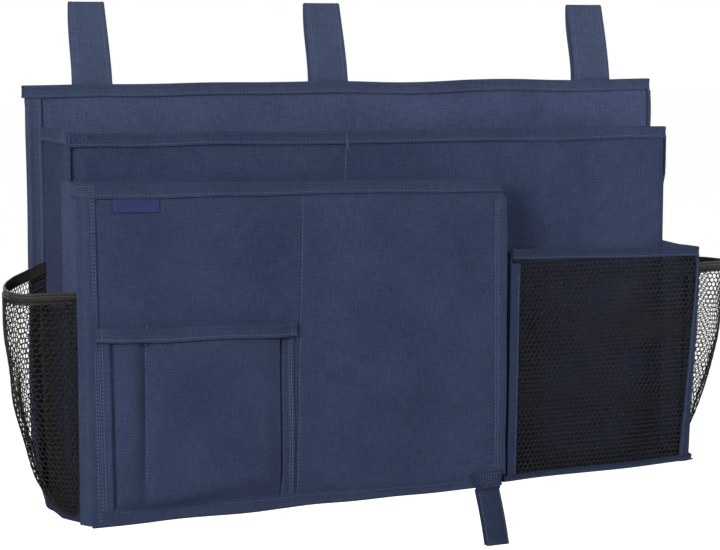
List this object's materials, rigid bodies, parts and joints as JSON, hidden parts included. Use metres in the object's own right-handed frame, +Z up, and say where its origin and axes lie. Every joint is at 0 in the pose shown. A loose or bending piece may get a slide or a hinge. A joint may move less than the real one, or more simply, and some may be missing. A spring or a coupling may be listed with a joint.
{
  "type": "bedside caddy",
  "caption": "Hanging cloth organizer with layered pockets, net side pockets and rail loops that close with hook and loop.",
  "frame": {"origin": "on the rail's top line inside the fold of the hanging loops, midway across the back panel's width", "axes": "+Z up, +X to the right seen from the front, +Y to the back, towards the bed; the pockets face -Y"},
  "size_m": [0.6943, 0.1352, 0.4722],
  "materials": {
    "navy_cloth": "woven navy polyester, matte",
    "navy_binding": "folded navy binding, stitched",
    "dark_lining": "coated back of the navy cloth, dark",
    "stiffener_board": "plain stiff board",
    "black_net": "fine knitted black net",
    "black_elastic": "ribbed elastic tape",
    "label_satin": "indigo satin ribbon, bare",
    "navy_strap": "doubled navy cloth strap",
    "hook_and_loop": "hook and loop pile"
  },
  "bodies": {
    "caddy": {"back_front_cloth": "navy_cloth", "back_rear_cloth": "dark_lining", "back_board_left": "stiffener_board", "back_board_right": "stiffener_board", "top_binding": "navy_binding", "left_side_binding": "navy_binding", "right_side_binding": "navy_binding", "left_side_panel": "navy_cloth", "right_side_panel": "navy_cloth", "left_side_hem": "navy_binding", "right_side_hem": "navy_binding", "main_front_cloth": "navy_cloth", "main_front_board": "stiffener_board", "main_front_lining": "dark_lining", "main_front_hem": "navy_binding", "base_cloth": "navy_cloth", "base_board": "stiffener_board", "base_left_binding": "navy_binding", "base_right_binding": "navy_binding", "front_pocket_left_gusset": "navy_cloth", "front_pocket_bellows": "navy_cloth", "mesh_pocket_net": "black_net", "mesh_pocket_hem": "navy_binding", "mesh_pocket_left_strip": "navy_binding", "mesh_pocket_right_strip": "navy_binding", "mesh_pocket_bottom_binding": "navy_binding", "mesh_pocket_left_gusset": "navy_cloth", "mesh_pocket_right_gusset": "navy_cloth", "mesh_pocket_gusset_hem": "navy_binding", "left_side_net": "black_net", "left_side_elastic": "black_elastic", "right_side_net": "black_net", "right_side_elastic": "black_elastic", "left_strap_front": "navy_strap", "left_loop_patch": "hook_and_loop", "middle_strap_front": "navy_strap", "middle_loop_patch": "hook_and_loop", "right_strap_front": "navy_strap", "right_loop_patch": "hook_and_loop"},
    "front_pocket": {"front_pocket_cloth": "navy_cloth", "front_pocket_board": "stiffener_board", "front_pocket_lining": "dark_lining", "front_pocket_hem": "navy_binding", "front_pocket_left_strip": "navy_binding", "front_pocket_right_flange": "navy_binding", "front_pocket_bottom_binding": "navy_binding", "blank_label": "label_satin", "small_pocket_cloth": "navy_cloth", "small_pocket_hem": "navy_binding", "small_pocket_left_pleat": "navy_cloth", "small_pocket_right_pleat": "navy_cloth", "bottom_strap_root": "navy_strap"},
    "bottom_strap": {"bottom_strap_front_ply": "navy_strap", "bottom_strap_rear_ply": "navy_strap"},
    "left_flap": {"left_strap_flap": "navy_strap", "left_hook_patch": "hook_and_loop"},
    "middle_flap": {"middle_strap_flap": "navy_strap", "middle_hook_patch": "hook_and_loop"},
    "right_flap": {"right_strap_flap": "navy_strap", "right_hook_patch": "hook_and_loop"}
  },
  "joints": [
    {"name": "front_pocket_tilt", "type": "hinge", "parent": "caddy", "child": "front_pocket", "pos_m": [-0.097, -0.1152, -0.416], "axis": [1, 0, 0], "range_deg": [0, 5], "stiffness_Nm_per_rad": 1.5, "springref_deg": -5.73},
    {"name": "bottom_strap_swing", "type": "hinge", "parent": "front_pocket", "child": "bottom_strap", "pos_m": [0.075, -0.12145, -0.4213], "axis": [1, 0, 0], "range_deg": [-80, 60]},
    {"name": "left_flap_open", "type": "hinge", "parent": "caddy", "child": "left_flap", "pos_m": [-0.2435, 0.0049, -0.00665], "axis": [1, 0, 0], "range_deg": [0, 150]},
    {"name": "middle_flap_open", "type": "hinge", "parent": "caddy", "child": "middle_flap", "pos_m": [-0.025, 0.0049, -0.00665], "axis": [1, 0, 0], "range_deg": [0, 150]},
    {"name": "right_flap_open", "type": "hinge", "parent": "caddy", "child": "right_flap", "pos_m": [0.2475, 0.0049, -0.00665], "axis": [1, 0, 0], "range_deg": [0, 150]}
  ]
}
